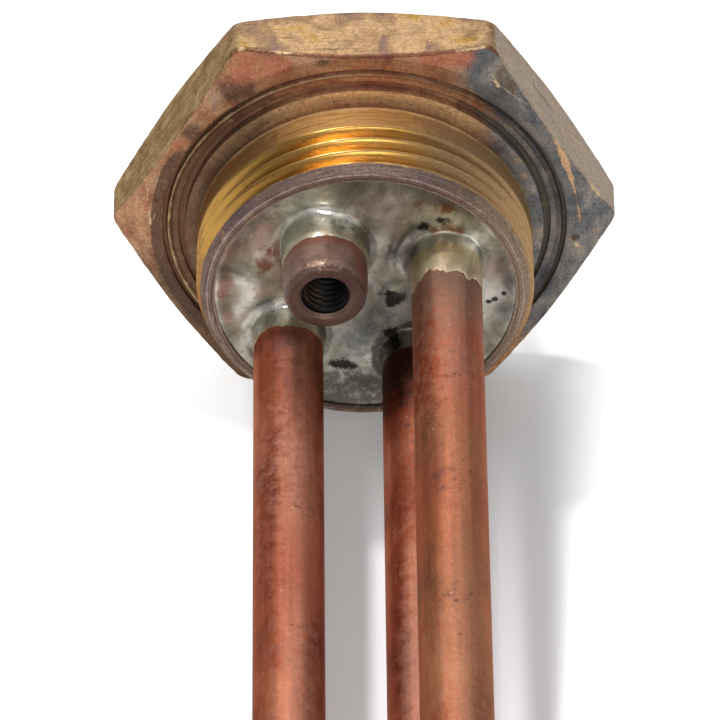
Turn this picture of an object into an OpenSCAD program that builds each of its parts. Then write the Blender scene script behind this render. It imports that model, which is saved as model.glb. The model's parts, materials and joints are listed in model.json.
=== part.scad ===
// Screw plug immersion heater: a hexagon brass plug with a G 1 1/4 pipe thread, a copper hairpin
// element, a copper thermostat pocket and a threaded boss for a sacrificial anode, all soldered
// into the plug. Millimetres. Pieces are drawn with the plug axis along local Z, sealing face
// at zero and the tubes towards +Z, and are then laid down so that the tubes point to -Y.

/* [Hexagon head] */
// Width across the flats
hex_af = 55; // [53:0.5:60]
// Thickness of the head
hex_t = 8.5; // [7:0.5:12]
// Distance from the flats to the circle where the corner chamfers start
chamfer_inset = 0.12; // [0.05:0.01:0.5]
// Slope of the corner chamfers on both faces
chamfer_deg = 22.5; // [15:0.5:35]
// Amount turned off the six upright corners
corner_blunt = 0.35; // [0.1:0.05:1]

/* [Sealing face] */
// Width of the raised lip round the thread relief
lip_w = 2.4; // [1.8:0.1:3]
// Height of that lip above the sealing face
lip_h = 0.6; // [0.3:0.05:1]
// Width of the groove outside the lip
inner_groove_w = 0.9; // [0.6:0.05:1.2]
// Width of the narrow land between the grooves
mid_land_w = 0.7; // [0.4:0.05:1]
// Depth of that land below the sealing face
mid_land_drop = 0.2; // [0.1:0.05:0.4]
// Width of the slope from that land up to the sharp ridge
ridge_w = 0.6; // [0.4:0.05:0.8]
// Height of the sharp ridge above the sealing face
ridge_h = 0.15; // [0.05:0.05:0.25]
// Width of the groove inside the flat ring
outer_groove_w = 0.7; // [0.4:0.05:1]
// Depth of both grooves below the sealing face
groove_depth = 0.8; // [0.4:0.05:1.2]

/* [Thread] */
// Major diameter of the G 1 1/4 thread
thread_d = 41.91; // [40:0.01:43]
// Pitch of the thread, 11 to the inch
thread_pitch = 2.309; // [1.8:0.001:2.6]
// Length of the threaded spigot from the sealing face
spigot_len = 13.3; // [11.5:0.1:20]
// Depth of the undercut behind the thread
relief_depth = 0.95; // [0.5:0.05:1.4]
// Distance from the sealing face to the end of the undercut
relief_end = 2; // [1.5:0.1:3]
// Length of the plain land before the first thread
land_len = 3.4; // [2:0.1:5]
// Size of the lead chamfer at the end of the thread
lead_chamfer = 1.3; // [0.8:0.1:1.6]

/* [Cups and web] */
// Width of the flat rim round the wet cup
rim_w = 1; // [0.8:0.05:1.4]
// Depth of the wet cup that holds the solder
wet_cup_depth = 2.5; // [2:0.1:4]
// Thickness of the web that the tubes pass through
web_t = 4; // [3:0.25:5]
// Wall between the thread root and the dry cup
dry_cup_wall = 1.95; // [1.5:0.05:3]
// Bevel at the mouth and floor of the dry cup
dry_cup_bevel = 0.8; // [0.3:0.1:1.2]

/* [Tube pattern] */
// Sideways offset of the tube pattern from the plug axis
pattern_x = 0.2; // [-1:0.1:1]
// Upright offset of the tube pattern from the plug axis
pattern_y = -1.4; // [-1.8:0.1:1]
// Turn of the line through the two element legs
pattern_turn = 32; // [0:1:60]
// Distance between the two element legs
leg_spacing = 23.1; // [21:0.1:24]
// Distance from the pattern centre to the thermostat pocket
pocket_offset = 11.7; // [10.5:0.1:12]
// Distance from the pattern centre to the anode boss
boss_offset = 9.7; // [9:0.1:10.5]

/* [Copper tubes] */
// Outside diameter of the element and the pocket
tube_d = 8.7; // [8:0.1:9.5]
// Wall of both tubes
tube_wall = 0.8; // [0.5:0.05:1]
// Reach of the hairpin bend from the sealing face
element_reach = 280; // [150:5:400]
// Reach of the closed pocket end from the sealing face
pocket_reach = 265; // [120:5:390]
// Length of element sheath behind the web
sheath_tail = 4.8; // [3:0.1:6]
// Length of pocket tube behind the web
pocket_tail = 6.5; // [3:0.1:9]

/* [Anode boss] */
// Outside diameter of the boss
boss_d = 10.4; // [9.5:0.1:11.5]
// Height of the boss above the floor of the wet cup
boss_h = 10.7; // [7:0.1:14]
// Rounding of its front edge
boss_round = 0.8; // [0.6:0.1:1.8]
// Core diameter of the M6 anode thread
anode_core_d = 5; // [4:0.1:6]
// Depth of the anode hole from the front of the boss
anode_depth = 11.2; // [8:0.1:12]
// Depth of the countersink at its mouth
anode_sink = 0.6; // [0.3:0.1:1]

/* [Solder] */
// Depth of the solder pool over the floor of the wet cup
solder_depth = 1.5; // [0.8:0.1:2]
// Height and width of the solder fillets
solder_fillet = 2; // [1:0.1:2.4]

/* [Heating core] */
// Diameter of the terminal pins
pin_d = 2.5; // [2:0.1:3]
// Diameter of the resistance wire
wire_d = 0.8; // [0.5:0.05:1]
// Pitch of the resistance coil
coil_pitch = 7; // [6:0.5:12]
// Distance from the sealing face to the inner end of the pins
cold_end = 55; // [35:1:90]
// Length of coil wound over each pin end
coil_overlap = 8; // [4:1:14]
// Length of the resin seals in the sheath ends
seal_len = 6; // [4:0.5:10]

/* [Terminals] */
// Length of the ceramic beads
bead_len = 6; // [4:0.5:8]
// Step from the sheath to the bead
bead_step = 0.5; // [0.2:0.1:1]
// Length of pin behind the bead
pin_stub = 6; // [5:0.5:8]
// Width of the push-on tabs
tab_w = 6.3; // [4.8:0.1:6.8]
// Thickness of the push-on tabs
tab_t = 0.8; // [0.5:0.05:1]
// Length of tab behind the pin
tab_reach = 11; // [9:0.5:16]
// Diameter of the detent hole in the tabs
detent_d = 1.7; // [1.2:0.1:2.2]

/* [Earth terminal] */
// Diameter of the earth boss on the dry side of the web
earth_boss_d = 8.4; // [7.5:0.1:8.6]
// Height of the earth boss
earth_boss_h = 4.2; // [3:0.1:5]
// Diameter of the earth screw
screw_d = 4; // [3:0.5:4.5]
// Length of the screw under its head
screw_len = 6; // [5:0.5:7]
// Diameter of the screw head
head_d = 7; // [6.5:0.1:7.8]
// Height of the screw head
head_h = 2.4; // [1.8:0.1:3]
// Thickness of the toothed lock washer
washer_t = 0.6; // [0.4:0.05:1]
// Number of teeth on the lock washer
washer_teeth = 10; // [8:1:14]
// Distance from the screw to the upright blade
blade_offset = 6.2; // [5.5:0.1:7]
// Height of the upright blade
blade_h = 20; // [14:0.5:24]

/* [Hidden] */
$fn = 64;
// Clearance left round soldered, pressed and filled-in pieces
fit_gap = 0.05;
// Clearance of the screw and its washers
screw_gap = 0.1;
// Distance by which cuts run past the faces that they open
past = 1;

thread_r = thread_d / 2;
thread_depth = 0.6403 * thread_pitch;
thread_flat = thread_pitch / 6;
thread_start = relief_end + land_len;
thread_turns = floor((spigot_len - lead_chamfer - thread_start + thread_flat) / thread_pitch);

chamfer_r = hex_af / 2 - chamfer_inset;
corner_r = hex_af / sqrt(3) - corner_blunt;
chamfer_drop = (corner_r - chamfer_r) * tan(chamfer_deg);

relief_r = thread_r - relief_depth;
lip_r = relief_r + lip_w;
inner_groove_r = lip_r + inner_groove_w;
mid_land_r = inner_groove_r + mid_land_w;
ridge_r = mid_land_r + ridge_w;
outer_groove_r = ridge_r + outer_groove_w;

wet_cup_r = thread_r - lead_chamfer - rim_w;
dry_cup_r = thread_r - thread_depth - dry_cup_wall;
cup_floor = spigot_len - wet_cup_depth;
web_back = cup_floor - web_t;
head_back = -hex_t;

tube_bore_d = tube_d - 2 * tube_wall;
bend_z = element_reach - leg_spacing / 2 - tube_d / 2;
sheath_back = web_back - sheath_tail;
pocket_back = web_back - pocket_tail;
pocket_dome_z = pocket_reach - tube_d / 2;

boss_front = cup_floor + boss_h;
boss_hole_d = boss_d + 2 * fit_gap;
tube_hole_d = tube_d + 2 * fit_gap;

seal_end = sheath_back + seal_len;
bead_back = sheath_back - bead_len;
pin_back = bead_back - pin_stub;
tab_front = bead_back - 2 * fit_gap;
tab_back = pin_back - tab_reach;

coil_r = pin_d / 2 + fit_gap + wire_d / 2;
coil_start = cold_end - coil_overlap;
coil_bore_start = coil_start - wire_d / 2 - fit_gap;
coil_bore_d = 2 * (coil_r + wire_d / 2 + fit_gap);
core_d = 2 * (coil_r - wire_d / 2 - fit_gap);

earth_face = web_back - earth_boss_h;
washer_back = earth_face - tab_t - washer_t;
screw_tip = washer_back + screw_len;
screw_hole_depth = screw_tip - earth_face + 0.5;
washer_d = head_d + 0.6;

// Lays the plug axis down: local Z, towards the tubes, becomes -Y and local Y becomes Z
module laid_down() {
    rotate([90, 0, 0]) children();
}

// Frame of the tube pattern: X runs through both element legs, Y towards the anode boss
module pattern() {
    translate([pattern_x, pattern_y, 0]) rotate([0, 0, pattern_turn]) children();
}

// Places a piece on the left (-1) or right (1) element leg
module on_leg(side) {
    translate([side * leg_spacing / 2, 0, 0]) children();
}

module on_pocket() {
    translate([0, -pocket_offset, 0]) children();
}

module on_boss() {
    translate([0, boss_offset, 0]) children();
}

// Solid hairpin of one diameter: two legs from z_from to the bend and the half ring between them
module hairpin(d, z_from) {
    for (side = [-1, 1])
        on_leg(side) translate([0, 0, z_from]) cylinder(d = d, h = bend_z - z_from);
    translate([0, 0, bend_z]) rotate([90, 0, 0])
        rotate_extrude(angle = 180) translate([leg_spacing / 2, 0]) circle(d = d);
}

// Half section of the turned plug, radius against axis, with the sealing rings and thread grooves
function groove_points(i) =
    let (z = thread_start + i * thread_pitch, root_r = thread_r - thread_depth)
    let (flank = (thread_pitch - 2 * thread_flat) / 2)
    [
        [thread_r, z],
        [root_r, z + flank],
        [root_r, z + flank + thread_flat],
        [thread_r, z + 2 * flank + thread_flat]
    ];

turned_profile = concat(
    [
        [0, head_back],
        [chamfer_r, head_back],
        [corner_r, head_back + chamfer_drop],
        [corner_r, -chamfer_drop],
        [chamfer_r, 0],
        [outer_groove_r, 0],
        [outer_groove_r, -groove_depth],
        [ridge_r + outer_groove_w / 4, -groove_depth],
        [ridge_r, ridge_h],
        [mid_land_r, -mid_land_drop],
        [inner_groove_r, -mid_land_drop],
        [inner_groove_r, -groove_depth],
        [lip_r, -groove_depth],
        [lip_r, lip_h],
        [relief_r, lip_h],
        [relief_r, relief_end],
        [thread_r, relief_end]
    ],
    [for (i = [0 : 1 : thread_turns - 1]) each groove_points(i)],
    [
        [thread_r, spigot_len - lead_chamfer],
        [thread_r - lead_chamfer, spigot_len],
        [0, spigot_len]
    ]
);

// Dry cup with a bevelled mouth and floor
module dry_cup() {
    rotate_extrude() polygon([
        [0, head_back - past],
        [dry_cup_r + dry_cup_bevel + past, head_back - past],
        [dry_cup_r, head_back + dry_cup_bevel],
        [dry_cup_r, web_back - dry_cup_bevel],
        [dry_cup_r - dry_cup_bevel, web_back],
        [0, web_back]
    ]);
}

// Drills for the three tubes, run through from the dry side
module tube_drills() {
    drill_h = spigot_len - head_back + 2 * past;
    pattern() translate([0, 0, head_back - past]) {
        for (side = [-1, 1]) on_leg(side) cylinder(d = tube_hole_d, h = drill_h);
        on_pocket() cylinder(d = tube_hole_d, h = drill_h);
    }
}

// Brass plug: hexagon bar, turned, threaded and cupped from both sides
module screw_plug() {
    color([0.70, 0.52, 0.28])
    difference() {
        union() {
            difference() {
                intersection() {
                    translate([0, 0, head_back])
                        cylinder(d = hex_af / cos(30), h = hex_t + spigot_len, $fn = 6);
                    rotate_extrude() polygon(turned_profile);
                }
                dry_cup();
                translate([0, 0, cup_floor]) cylinder(r = wet_cup_r, h = wet_cup_depth + past);
            }
            pattern() translate([0, 0, earth_face])
                cylinder(d = earth_boss_d, h = earth_boss_h + web_t / 2);
        }
        tube_drills();
        pattern() on_boss()
            translate([0, 0, web_back]) cylinder(d = boss_hole_d, h = web_t + wet_cup_depth + past);
        pattern() translate([0, 0, earth_face - past])
            cylinder(d = screw_d + screw_gap, h = screw_hole_depth + past);
    }
}

// Blind threaded boss for the anode, with a rounded front edge and a countersunk mouth
module anode_boss() {
    boss_len = boss_front - web_back;
    boss_r = boss_d / 2;
    core_r = anode_core_d / 2;
    color([0.45, 0.24, 0.16])
    pattern() on_boss() translate([0, 0, web_back])
        rotate_extrude() difference() {
            union() {
                square([boss_r, boss_len - boss_round]);
                square([boss_r - boss_round, boss_len]);
                translate([boss_r - boss_round, boss_len - boss_round]) circle(r = boss_round);
            }
            translate([0, boss_len - anode_depth]) square([core_r, anode_depth + past]);
            polygon([
                [0, boss_len - anode_sink],
                [core_r, boss_len - anode_sink],
                [core_r + anode_sink + past, boss_len + past],
                [0, boss_len + past]
            ]);
            translate([-boss_r, 0]) square([boss_r, boss_len]);
        }
}

// Copper sheath of the heating element, open at both dry ends
module element_sheath() {
    color([0.62, 0.32, 0.22])
    pattern() difference() {
        hairpin(tube_d, sheath_back);
        hairpin(tube_bore_d, sheath_back - past);
    }
}

// Copper thermostat pocket, open at the dry end and domed at the wet end
module pocket_tube() {
    color([0.56, 0.28, 0.20])
    pattern() on_pocket() difference() {
        union() {
            translate([0, 0, pocket_back]) cylinder(d = tube_d, h = pocket_dome_z - pocket_back);
            translate([0, 0, pocket_dome_z]) sphere(d = tube_d);
        }
        translate([0, 0, pocket_back - past])
            cylinder(d = tube_bore_d, h = pocket_dome_z - pocket_back + past);
        translate([0, 0, pocket_dome_z]) sphere(d = tube_bore_d);
    }
}

// Concave ring of solder that climbs a tube of diameter d and runs out over the pool
module solder_climb(d) {
    arc_centre = 1.3 * solder_fillet;
    arc_r = norm([arc_centre, arc_centre - 0.96 * solder_fillet]);
    rotate_extrude() translate([d / 2, 0]) difference() {
        square(solder_fillet);
        translate([arc_centre, arc_centre]) circle(r = arc_r);
    }
}

// Solder that fills the wet cup and climbs the tubes and the boss
module solder_pool() {
    pool_top = cup_floor + solder_depth;
    pool_d = 2 * (wet_cup_r - fit_gap);
    color([0.62, 0.61, 0.57])
    difference() {
        intersection() {
            union() {
                translate([0, 0, cup_floor]) cylinder(d = pool_d, h = solder_depth);
                pattern() translate([0, 0, pool_top]) {
                    for (side = [-1, 1]) on_leg(side) solder_climb(tube_hole_d);
                    on_pocket() solder_climb(tube_hole_d);
                    on_boss() solder_climb(boss_hole_d);
                }
            }
            translate([0, 0, cup_floor]) cylinder(d = pool_d, h = solder_depth + solder_fillet + past);
        }
        pattern() translate([0, 0, cup_floor - past]) {
            climb_h = solder_depth + solder_fillet + 2 * past;
            for (side = [-1, 1]) on_leg(side) cylinder(d = tube_hole_d, h = climb_h);
            on_pocket() cylinder(d = tube_hole_d, h = climb_h);
            on_boss() cylinder(d = boss_hole_d, h = climb_h);
        }
    }
}

// Compacted magnesia: a sleeve round the pins and the coil, and a core inside the coil
module magnesia_fill() {
    color([0.90, 0.89, 0.84])
    pattern() {
        difference() {
            hairpin(tube_bore_d - 2 * fit_gap, seal_end);
            hairpin(coil_bore_d, coil_bore_start);
            for (side = [-1, 1]) on_leg(side) translate([0, 0, seal_end - past])
                cylinder(d = pin_d + 2 * fit_gap, h = cold_end - seal_end + past);
        }
        hairpin(core_d, cold_end + fit_gap);
    }
}

// Path of the element: along the right leg, round the bend and back along the left leg
coil_leg = bend_z - coil_start;
coil_bend = PI * leg_spacing / 2;
coil_run = 2 * coil_leg + coil_bend;

function path_turn(s) = 180 * min(max((s - coil_leg) / coil_bend, 0), 1);

function path_point(s) =
    let (t = path_turn(s), straight = s < coil_leg ? s - coil_leg : max(s - coil_leg - coil_bend, 0))
    [
        leg_spacing / 2 * cos(t) - straight * sin(t),
        0,
        bend_z + leg_spacing / 2 * sin(t) + straight * cos(t)
    ];

// One ring of the wire: a circle across the helix that winds round the path
wire_sides = 5;
wire_steps = 10;
coil_slope = atan(coil_pitch / (2 * PI * coil_r));

function wire_ring(s) =
    let (t = path_turn(s), w = 360 * s / coil_pitch)
    let (outward = [cos(t) * cos(w), sin(w), sin(t) * cos(w)])
    let (onward = [-cos(t) * sin(w), cos(w), -sin(t) * sin(w)])
    let (ahead = [-sin(t), 0, cos(t)])
    let (across = ahead * cos(coil_slope) - onward * sin(coil_slope))
    [
        for (k = [0 : wire_sides - 1])
            let (a = 360 * k / wire_sides)
            path_point(s) + outward * (coil_r + wire_d / 2 * cos(a)) + across * wire_d / 2 * sin(a)
    ];

// Resistance wire wound as a coil over the pin ends and along the whole hairpin
module resistance_coil() {
    rings = ceil(coil_run / coil_pitch * wire_steps);
    points = [for (i = [0 : rings]) each wire_ring(coil_run * i / rings)];
    walls = [
        for (i = [0 : rings - 1], k = [0 : wire_sides - 1])
            let (a = i * wire_sides + k, b = i * wire_sides + (k + 1) % wire_sides)
            each [[a, b, b + wire_sides], [a, b + wire_sides, a + wire_sides]]
    ];
    first_cap = [for (k = [0 : wire_sides - 1]) wire_sides - 1 - k];
    last_cap = [for (k = [0 : wire_sides - 1]) rings * wire_sides + k];
    color([0.45, 0.45, 0.47])
    pattern() polyhedron(points, concat(walls, [first_cap, last_cap]));
}

// Steel pin with a flat at its dry end for the tab
module terminal_pin(side) {
    color([0.60, 0.60, 0.60])
    pattern() on_leg(side) difference() {
        translate([0, 0, pin_back]) cylinder(d = pin_d, h = cold_end - pin_back);
        translate([0, -pin_d, pin_back - past]) cube([pin_d, 2 * pin_d, pin_stub + past]);
    }
}

// Resin seal between the pin and the sheath end
module end_seal(side) {
    color([0.55, 0.20, 0.16])
    pattern() on_leg(side) translate([0, 0, sheath_back]) difference() {
        cylinder(d = tube_bore_d - 2 * fit_gap, h = seal_len);
        translate([0, 0, -past]) cylinder(d = pin_d + 2 * fit_gap, h = seal_len + 2 * past);
    }
}

// Ceramic bead that stands on the sheath end, with a bevelled shoulder
module ceramic_bead(side) {
    bead_r = tube_d / 2 - bead_step;
    bore_r = pin_d / 2 + fit_gap;
    shoulder = (bead_r - bore_r) / 2;
    color([0.93, 0.92, 0.88])
    pattern() on_leg(side) translate([0, 0, bead_back])
        rotate_extrude() polygon([
            [bore_r, 0],
            [bead_r - shoulder, 0],
            [bead_r, shoulder],
            [bead_r, bead_len],
            [bore_r, bead_len]
        ]);
}

// Outline of a push-on blade of length l: square root, bevelled tip and a detent hole
module blade_outline(l) {
    tip = tab_w / 5;
    difference() {
        polygon([
            [-tab_w / 2, 0],
            [tab_w / 2, 0],
            [tab_w / 2, l - tip],
            [tab_w / 2 - tip / 2, l],
            [tip / 2 - tab_w / 2, l],
            [-tab_w / 2, l - tip]
        ]);
        translate([0, l - tab_w / 2 - tip / 2]) circle(d = detent_d);
    }
}

// Steel tab welded on the flat of a pin, pointing out of the dry cup
module terminal_tab(side) {
    color([0.72, 0.70, 0.64])
    pattern() on_leg(side) translate([0, 0, tab_front])
        rotate([-90, 0, -90]) linear_extrude(tab_t) blade_outline(tab_front - tab_back);
}

// Earth tab: a ring under the screw and a blade bent up from it
module earth_tab() {
    ring_d = washer_d + 0.4;
    color([0.76, 0.64, 0.36])
    pattern() {
        translate([0, 0, earth_face - tab_t]) difference() {
            union() {
                cylinder(d = ring_d, h = tab_t);
                translate([-tab_w / 2, 0, 0]) cube([tab_w, blade_offset + tab_t, tab_t]);
            }
            translate([0, 0, -past]) cylinder(d = screw_d + 2 * screw_gap, h = tab_t + 2 * past);
        }
        translate([0, blade_offset, earth_face])
            rotate([-90, 0, 0]) linear_extrude(tab_t) blade_outline(blade_h);
    }
}

// Toothed lock washer under the screw head
module earth_lock_washer() {
    tooth_gap = PI * washer_d / washer_teeth / 2;
    tooth_depth = (washer_d - screw_d) / 4;
    color([0.70, 0.70, 0.72])
    pattern() translate([0, 0, washer_back]) linear_extrude(washer_t) difference() {
        circle(d = washer_d);
        circle(d = screw_d + 2 * screw_gap);
        for (i = [0 : washer_teeth - 1])
            rotate(360 * i / washer_teeth) translate([washer_d / 2 - tooth_depth, -tooth_gap / 2])
                square([washer_d, tooth_gap]);
    }
}

// Slotted earth screw, its shank in the earth boss
module earth_screw() {
    slot_w = head_d / 7;
    head_bevel = head_h / 4;
    color([0.74, 0.73, 0.70])
    pattern() translate([0, 0, washer_back]) difference() {
        union() {
            translate([0, 0, -fit_gap]) cylinder(d = screw_d, h = screw_len + fit_gap);
            rotate_extrude() polygon([
                [0, 0],
                [head_d / 2, 0],
                [head_d / 2, head_bevel - head_h],
                [head_d / 2 - head_bevel, -head_h],
                [0, -head_h]
            ]);
        }
        translate([-head_d, -slot_w / 2, -head_h - past]) cube([2 * head_d, slot_w, head_h / 2 + past]);
    }
}

laid_down() screw_plug();
laid_down() anode_boss();
laid_down() element_sheath();
laid_down() pocket_tube();
laid_down() solder_pool();
laid_down() magnesia_fill();
laid_down() resistance_coil();
laid_down() terminal_pin(-1);  // terminal_pin_left
laid_down() terminal_pin(1);  // terminal_pin_right
laid_down() end_seal(-1);  // end_seal_left
laid_down() end_seal(1);  // end_seal_right
laid_down() ceramic_bead(-1);  // ceramic_bead_left
laid_down() ceramic_bead(1);  // ceramic_bead_right
laid_down() terminal_tab(-1);  // terminal_tab_left
laid_down() terminal_tab(1);  // terminal_tab_right
laid_down() earth_tab();
laid_down() earth_lock_washer();
laid_down() earth_screw();
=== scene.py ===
import bpy
import bmesh
import json
import math
import numpy as np
from functools import partial
from mathutils import Matrix, Vector


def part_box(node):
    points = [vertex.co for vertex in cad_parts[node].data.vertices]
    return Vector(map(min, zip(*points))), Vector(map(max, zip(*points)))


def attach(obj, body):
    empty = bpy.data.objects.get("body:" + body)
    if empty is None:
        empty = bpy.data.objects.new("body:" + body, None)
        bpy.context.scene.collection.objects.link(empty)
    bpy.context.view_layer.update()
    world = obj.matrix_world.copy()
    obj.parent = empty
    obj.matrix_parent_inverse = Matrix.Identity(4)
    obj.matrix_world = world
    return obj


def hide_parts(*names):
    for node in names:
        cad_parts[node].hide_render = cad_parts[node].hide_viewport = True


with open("model.json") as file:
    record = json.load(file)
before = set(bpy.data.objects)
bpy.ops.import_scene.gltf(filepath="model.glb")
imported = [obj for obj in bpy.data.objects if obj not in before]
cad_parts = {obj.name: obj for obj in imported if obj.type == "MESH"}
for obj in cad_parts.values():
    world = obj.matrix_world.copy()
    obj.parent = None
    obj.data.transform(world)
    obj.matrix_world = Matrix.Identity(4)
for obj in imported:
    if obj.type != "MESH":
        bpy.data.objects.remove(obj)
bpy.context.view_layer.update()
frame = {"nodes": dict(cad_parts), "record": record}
mm = 0.001
print("frame loaded:", len(frame["nodes"]), "CAD nodes")

# Lengths are in mm, in the plug's own directions: x to the right, up, and out along
# the plug's axis towards the tubes. In the row frame that is (x, -out, up).


def toRow(x, up, out):
    return np.stack(np.broadcast_arrays(x, -np.asarray(out, float), up), -1) * mm


def ringAngles(count):  # one row of angles, evenly round an axis
    return np.linspace(0, 2 * np.pi, count, endpoint=False)[None]


def around(at, radius, turn, out):  # points at a radius and an angle round the axis through at = (x, up)
    return toRow(at[0] + radius * np.cos(turn), at[1] + radius * np.sin(turn), out)


def linear(hexCode):  # sRGB hex to linear RGBA
    srgb = np.array([int(hexCode[i:i + 2], 16) for i in (1, 3, 5)]) / 255
    rgb = np.where(srgb <= 0.04045, srgb / 12.92, ((srgb + 0.055) / 1.055) ** 2.4)
    return (*rgb.tolist(), 1.0)


def smooth(low, high, value):  # 0 at low, 1 at high, an S curve between
    t = np.clip((value - low) / (high - low), 0, 1)
    return t * t * (3 - 2 * t)


def band(rise, full, still, fall, value):  # 0 up to rise, 1 from full to still, 0 again from fall on
    return smooth(rise, full, value) * smooth(fall, still, value)


def bell(away, width):
    return np.exp(-(away / width) ** 2)


def spotField(points, spots):
    # sum of bell-shaped spots; each is (x, up, radius, strength) or (x, up, out, radius, strength), in mm
    total = np.zeros(points.shape[:-1])
    for *place, radius, strength in spots:
        total += strength * bell(np.linalg.norm(points[..., :len(place)] - place, axis=-1), radius)
    return total


def ripple(u, v, seed):
    # smooth unevenness between about -1 and 1: a few crossed sine waves of unlike lengths
    waves = np.random.default_rng(seed).uniform([0.5, 0.5, 0], [2.2, 2.2, 6.28], (6, 3))
    total = sum(np.sin(a * u + b * v + c) * np.sin(b * u - a * v + 2 * c) for a, b, c in waves)
    return total / 3


def roundCorners(points, reach, steps=3):
    # every inner corner of a polyline becomes a parabola from reach before it to reach after it
    p = np.array(points, float)
    before, after = p[:-2] - p[1:-1], p[2:] - p[1:-1]
    lengthBefore = np.linalg.norm(before, axis=1, keepdims=True)
    lengthAfter = np.linalg.norm(after, axis=1, keepdims=True)
    cut = np.minimum(reach, 0.45 * np.minimum(lengthBefore, lengthAfter))
    start, end = p[1:-1] + before / lengthBefore * cut, p[1:-1] + after / lengthAfter * cut
    t = np.linspace(0, 1, steps)[None, :, None]
    arcs = (1 - t) ** 2 * start[:, None] + 2 * t * (1 - t) * p[1:-1][:, None] + t ** 2 * end[:, None]
    return np.vstack([p[:1], arcs.reshape(-1, 2), p[-1:]])


def threadWave(phase):
    # rounded V thread, 1 at the crest and -1 at the root: straight flanks up to half height,
    # then a parabola to the crest or root
    v = 1.5 * (1 - 4 * np.abs((phase % 1) - 0.5))
    over = np.maximum(np.abs(v) - 0.5, 0)
    return np.sign(v) * (np.minimum(np.abs(v), 0.5) + over - over ** 2 / 2)


def gridFaces(rows, cols, first, closeRows, closeCols):
    # quads of a grid whose point (i, j) is vertex first + i * cols + j
    i, j = np.meshgrid(np.arange(rows - (not closeRows)), np.arange(cols - (not closeCols)), indexing="ij")
    iNext, jNext = (i + 1) % rows, (j + 1) % cols
    corners = [i * cols + j, i * cols + jNext, iNext * cols + jNext, iNext * cols + j]
    return (first + np.stack(corners, -1).reshape(-1, 4)).tolist()


def makeMesh(name, *grids):
    # a grid is (points, closeRows, poles): points is rows x cols x 3 in metres and closed
    # round its columns; with poles, its first and last row are closed by fans to their middles
    vertices, faces, count = [], [], 0
    for points, closeRows, poles in grids:
        rows, cols = points.shape[:2]
        vertices.append(points.reshape(-1, 3))
        faces += gridFaces(rows, cols, count, closeRows, True)
        if poles:
            vertices.append(np.stack([points[0].mean(0), points[-1].mean(0)]))
            for row, pole in ((0, rows * cols), (rows - 1, rows * cols + 1)):
                ring = count + row * cols + np.arange(cols)
                faces += np.stack([ring, np.roll(ring, -1), np.full(cols, count + pole)], -1).tolist()
            count += 2
        count += rows * cols
    mesh = bpy.data.meshes.new(name)
    mesh.from_pydata(np.vstack(vertices), [], faces)
    shell = bmesh.new()
    shell.from_mesh(mesh)
    bmesh.ops.recalc_face_normals(shell, faces=shell.faces)
    shell.to_mesh(mesh)
    shell.free()
    return mesh


def makeObject(name, data):
    piece = bpy.data.objects.new(name, data)
    bpy.context.scene.collection.objects.link(piece)
    return piece


def makePiece(name, *grids):
    return makeObject(name, makeMesh(name, *grids))


def cutWith(piece, cutter, operation="DIFFERENCE"):
    # applies one Boolean and removes the cutter
    step = piece.modifiers.new("cut", "BOOLEAN")
    step.solver, step.operation, step.object = "MANIFOLD", operation, cutter
    shaped = piece.evaluated_get(bpy.context.evaluated_depsgraph_get())
    mesh = bpy.data.meshes.new_from_object(shaped)
    piece.modifiers.clear()
    piece.data = mesh
    bpy.data.objects.remove(cutter)


def finishPiece(piece, material, slotName, *nodes, sharpDegrees=50):
    piece.data.materials.clear()
    piece.data.materials.append(material)
    piece.data.shade_smooth()
    piece.data.set_sharp_from_angle(angle=math.radians(sharpDegrees))
    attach(piece, "root")
    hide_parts(*nodes)
    print(piece.name, "has", len(piece.data.loops) - 2 * len(piece.data.polygons), "triangles")


def localPoints(mesh):  # vertices as x, up, out in mm
    flat = np.empty(len(mesh.vertices) * 3, np.float32)
    mesh.vertices.foreach_get("co", flat)
    row = flat.reshape(-1, 3).astype(float) / mm
    return np.stack([row[:, 0], row[:, 2], -row[:, 1]], -1)


def paint(mesh, **masks):  # stores each mask, or vector field, as a point attribute that a material reads
    for name, values in masks.items():
        if values.ndim == 2:
            layer = mesh.attributes.new(name, "FLOAT_VECTOR", "POINT")
            layer.data.foreach_set("vector", values.astype(np.float32).ravel())
        else:
            layer = mesh.attributes.new(name, "FLOAT", "POINT")
            layer.data.foreach_set("value", np.clip(values, 0, 1).astype(np.float32))


def barGrid(at, radius, outs, sides=64):  # plain round bar, for drilling
    return around(at, radius, ringAngles(sides), np.array(outs, float)[:, None]), False, True


def fillSockets(node, sockets):
    # a dictionary goes by name, a list by the order of the inputs, such as a MapRange's value, from, from,
    # to and to; each takes a value, a link from an output, or a link from a node's first output
    inputs = [s for s in node.inputs if s.enabled]
    if isinstance(sockets, dict):
        inputs = [next(s for s in inputs if s.name == name) for name in sockets]
        sockets = sockets.values()
    for socket, value in zip(inputs, sockets):
        if isinstance(value, bpy.types.Node):
            value = next(s for s in value.outputs if s.enabled)
        if isinstance(value, bpy.types.NodeSocket):
            node.id_data.links.new(value, socket)
        else:
            socket.default_value = value


def addNode(tree, kind, sockets=(), stops=(), **options):
    # adds one node with its options, its sockets, and a colour ramp's (position, sRGB hex) stops
    node = tree.nodes.new("ShaderNode" + kind)
    for name, value in options.items():
        setattr(node, name, value)
    for number, (position, hexCode) in enumerate(stops):
        colours = node.color_ramp.elements
        stop = colours[number] if number < 2 else colours.new(position)
        stop.position, stop.color = position, linear(hexCode)
    fillSockets(node, sockets)
    return node


def emptyMaterial(name):
    material = bpy.data.materials.new(name)
    material.use_nodes = True
    material.node_tree.nodes.clear()
    return material, partial(addNode, material.node_tree)


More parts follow.
